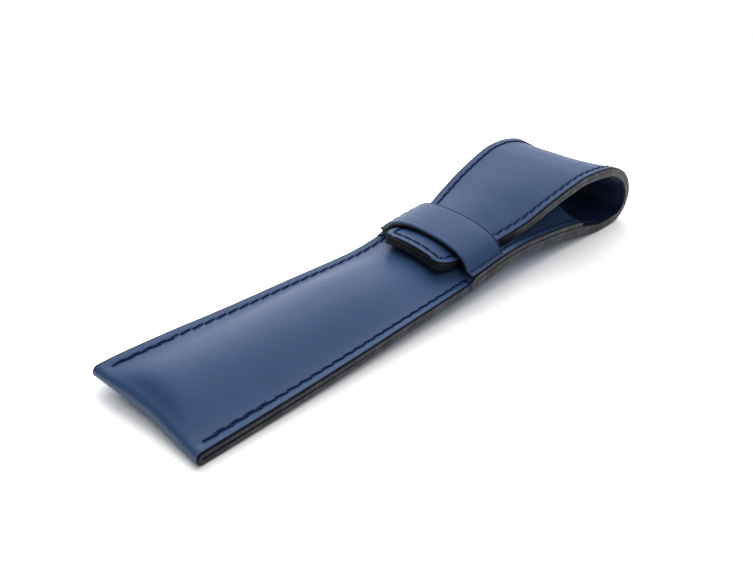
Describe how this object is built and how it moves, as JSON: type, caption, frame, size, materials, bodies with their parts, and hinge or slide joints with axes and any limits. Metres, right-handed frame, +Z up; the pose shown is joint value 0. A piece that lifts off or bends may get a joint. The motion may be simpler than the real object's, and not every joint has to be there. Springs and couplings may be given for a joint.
{
  "type": "pen case",
  "caption": "Slim leather single-pen case: a long sewn pocket whose strap loops over into a tapered flap, with a tongue tucked under a keeper band.",
  "frame": {"origin": "centre of the footprint, on the table plane that the case rests on", "axes": "+X across the case towards its right side seam, +Y along it from the bottom fold to the loop, +Z up out of the flap"},
  "size_m": [0.0356, 0.1885, 0.0239],
  "materials": {
    "strap_leather": "smooth navy leather, soft sheen",
    "lining_leather": "smooth navy lining leather, dark painted edges",
    "keeper_leather": "smooth navy leather, dark painted edges",
    "thread": "waxed dark navy thread"
  },
  "bodies": {
    "case": {"strap_body": "strap_leather", "lining_body": "lining_leather", "keeper_band": "keeper_leather", "panel_seam_left": "thread", "panel_seam_right": "thread", "backtack_left": "thread", "backtack_right": "thread", "keeper_seam_left": "thread", "keeper_seam_right": "thread", "strip_seam_left": "thread", "strip_seam_right": "thread", "back_seam_left": "thread", "back_seam_right": "thread"},
    "loop": {"strap_bend": "strap_leather", "lining_bend": "lining_leather", "bend_seam_left": "thread", "bend_seam_right": "thread"},
    "flap": {"strap_flap": "strap_leather", "lining_flap": "lining_leather", "flap_seam_left": "thread", "flap_seam_right": "thread", "tongue_seam": "thread"}
  },
  "joints": [
    {"name": "tongue_draw", "type": "slide", "parent": "case", "child": "loop", "axis": [0, 0.9744, 0.225], "range_m": [0, 0.0235], "deforming": ["keeper_band", "strap_bend", "lining_bend", "bend_seam_left", "bend_seam_right"]},
    {"name": "flap_swing", "type": "hinge", "parent": "loop", "child": "flap", "pos_m": [0, 0.09367, 0.0102], "axis": [-1, 0, 0], "range_deg": [0, 160], "deforming": ["keeper_band", "strap_bend", "lining_bend", "bend_seam_left", "bend_seam_right"]}
  ]
}
